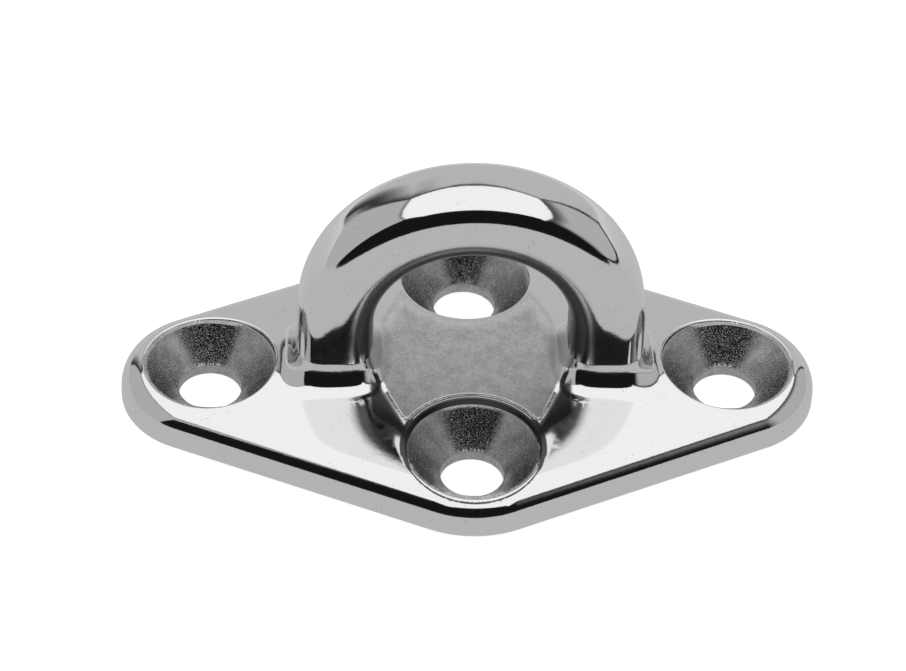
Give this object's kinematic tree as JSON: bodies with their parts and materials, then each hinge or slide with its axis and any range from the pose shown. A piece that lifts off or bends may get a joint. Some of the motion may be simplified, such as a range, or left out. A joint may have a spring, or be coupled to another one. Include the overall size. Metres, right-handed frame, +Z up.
{
  "type": "deck eye",
  "caption": "Rounded diamond base plate with countersunk screw holes and a round bow across its middle, one piece of polished stainless steel, for lashings and blocks.",
  "frame": {"origin": "centre of the flat underside of the base plate", "axes": "+X along the plate's long diagonal, +Y through the eye, +Z up from the underside to the top of the bow"},
  "size_m": [0.067, 0.0396, 0.0274],
  "materials": {
    "stainless_steel": "stainless steel, polished outside, left as cast in the countersinks and on the floor under the bow"
  },
  "bodies": {
    "root": {"deck_eye": "stainless_steel"}
  },
  "joints": []
}
